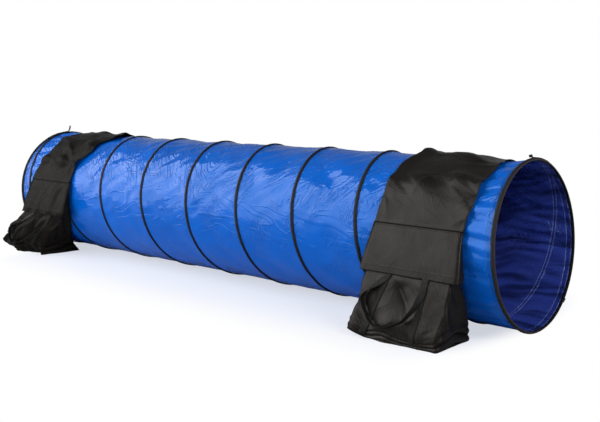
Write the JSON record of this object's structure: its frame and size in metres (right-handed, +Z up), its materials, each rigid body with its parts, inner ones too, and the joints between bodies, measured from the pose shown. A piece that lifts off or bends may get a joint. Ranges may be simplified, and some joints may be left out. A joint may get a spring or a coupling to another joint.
{
  "type": "dog agility tunnel",
  "caption": "Collapsible cloth tunnel on a spiral of spring wire, held still by saddlebags with flaps, pockets and webbing handles.",
  "frame": {"origin": "on the floor below the middle of the tunnel", "axes": "+X along the tunnel to the near mouth, the one with the wire running down its far side; -Y the front; +Z up"},
  "size_m": [2.9302, 0.9, 0.6451],
  "materials": {
    "tunnel_cloth": "coated ripstop cloth with a soft gloss",
    "bag_cloth": "black coated nylon, satin",
    "edge_tape": "matt woven tape",
    "webbing": "ribbed webbing",
    "fastener_tape": "matt hook and loop",
    "spring_steel": "drawn spring wire",
    "cap_plastic": "moulded cap"
  },
  "bodies": {
    "near_end": {"tunnel_skin": "tunnel_cloth", "spring_wire": "spring_steel", "spiral_tape": "edge_tape", "near_mouth_binding": "edge_tape", "near_binding_lap": "edge_tape", "near_wire_cap": "cap_plastic", "near_tape_tail": "edge_tape"},
    "far_end": {"far_mouth_binding": "edge_tape", "far_binding_lap": "edge_tape", "far_wire_cap": "cap_plastic", "far_tape_tail": "edge_tape"},
    "near_saddlebag": {"near_yoke": "bag_cloth"},
    "near_front_pouch": {"near_front_pocket": "bag_cloth", "near_front_loop_strip": "fastener_tape", "near_front_strap_left": "webbing", "near_front_strap_right": "webbing"},
    "near_front_flap_panel": {"near_front_flap": "bag_cloth", "near_front_hook_strip": "fastener_tape"},
    "near_front_grip": {"near_front_handle": "webbing"},
    "near_rear_pouch": {"near_rear_pocket": "bag_cloth", "near_rear_loop_strip": "fastener_tape", "near_rear_strap_left": "webbing", "near_rear_strap_right": "webbing"},
    "near_rear_flap_panel": {"near_rear_flap": "bag_cloth", "near_rear_hook_strip": "fastener_tape"},
    "near_rear_grip": {"near_rear_handle": "webbing"},
    "far_saddlebag": {"far_yoke": "bag_cloth"},
    "far_front_pouch": {"far_front_pocket": "bag_cloth", "far_front_loop_strip": "fastener_tape", "far_front_strap_left": "webbing", "far_front_strap_right": "webbing"},
    "far_front_flap_panel": {"far_front_flap": "bag_cloth", "far_front_hook_strip": "fastener_tape"},
    "far_front_grip": {"far_front_handle": "webbing"},
    "far_rear_pouch": {"far_rear_pocket": "bag_cloth", "far_rear_loop_strip": "fastener_tape", "far_rear_strap_left": "webbing", "far_rear_strap_right": "webbing"},
    "far_rear_flap_panel": {"far_rear_flap": "bag_cloth", "far_rear_hook_strip": "fastener_tape"},
    "far_rear_grip": {"far_rear_handle": "webbing"}
  },
  "joints": [
    {"name": "collapse", "type": "slide", "parent": "near_end", "child": "far_end", "axis": [1, 0, 0], "range_m": [0, 1.855], "deforming": ["tunnel_skin", "spring_wire", "spiral_tape"]},
    {"name": "near_saddlebag_lift", "type": "slide", "parent": "near_end", "child": "near_saddlebag", "axis": [0, 0, 1], "range_m": [0, 0.5]},
    {"name": "near_front_pocket_swing", "type": "hinge", "parent": "near_saddlebag", "child": "near_front_pouch", "pos_m": [1.14049, -0.29828, 0.38649], "axis": [-1, 0, 0], "range_deg": [0, 72]},
    {"name": "near_front_flap_open", "type": "hinge", "parent": "near_front_pouch", "child": "near_front_flap_panel", "pos_m": [1.14049, -0.29828, 0.38649], "axis": [-1, 0, 0], "range_deg": [0, 90]},
    {"name": "near_front_handle_swing", "type": "hinge", "parent": "near_front_pouch", "child": "near_front_grip", "pos_m": [1.14049, -0.36762, 0.21366], "axis": [-1, 0, 0], "range_deg": [0, 85]},
    {"name": "near_rear_pocket_swing", "type": "hinge", "parent": "near_saddlebag", "child": "near_rear_pouch", "pos_m": [1.14049, 0.29828, 0.38649], "axis": [1, 0, 0], "range_deg": [0, 72]},
    {"name": "near_rear_flap_open", "type": "hinge", "parent": "near_rear_pouch", "child": "near_rear_flap_panel", "pos_m": [1.14049, 0.29828, 0.38649], "axis": [1, 0, 0], "range_deg": [0, 90]},
    {"name": "near_rear_handle_swing", "type": "hinge", "parent": "near_rear_pouch", "child": "near_rear_grip", "pos_m": [1.14049, 0.36762, 0.21366], "axis": [1, 0, 0], "range_deg": [0, 85]},
    {"name": "far_saddlebag_lift", "type": "slide", "parent": "far_end", "child": "far_saddlebag", "axis": [0, 0, 1], "range_m": [0, 0.5]},
    {"name": "far_front_pocket_swing", "type": "hinge", "parent": "far_saddlebag", "child": "far_front_pouch", "pos_m": [-1.16451, -0.29828, 0.38649], "axis": [-1, 0, 0], "range_deg": [0, 72]},
    {"name": "far_front_flap_open", "type": "hinge", "parent": "far_front_pouch", "child": "far_front_flap_panel", "pos_m": [-1.16451, -0.29828, 0.38649], "axis": [-1, 0, 0], "range_deg": [0, 90]},
    {"name": "far_front_handle_swing", "type": "hinge", "parent": "far_front_pouch", "child": "far_front_grip", "pos_m": [-1.16451, -0.36762, 0.21366], "axis": [-1, 0, 0], "range_deg": [0, 85]},
    {"name": "far_rear_pocket_swing", "type": "hinge", "parent": "far_saddlebag", "child": "far_rear_pouch", "pos_m": [-1.16451, 0.29828, 0.38649], "axis": [1, 0, 0], "range_deg": [0, 72]},
    {"name": "far_rear_flap_open", "type": "hinge", "parent": "far_rear_pouch", "child": "far_rear_flap_panel", "pos_m": [-1.16451, 0.29828, 0.38649], "axis": [1, 0, 0], "range_deg": [0, 90]},
    {"name": "far_rear_handle_swing", "type": "hinge", "parent": "far_rear_pouch", "child": "far_rear_grip", "pos_m": [-1.16451, 0.36762, 0.21366], "axis": [1, 0, 0], "range_deg": [0, 85]}
  ],
  "couplings": [
    {"joint": "near_front_pocket_swing", "follows": "near_saddlebag_lift", "rad_per_m": 2.5},
    {"joint": "near_rear_pocket_swing", "follows": "near_saddlebag_lift", "rad_per_m": 2.5},
    {"joint": "far_front_pocket_swing", "follows": "far_saddlebag_lift", "rad_per_m": 2.5},
    {"joint": "far_rear_pocket_swing", "follows": "far_saddlebag_lift", "rad_per_m": 2.5}
  ]
}
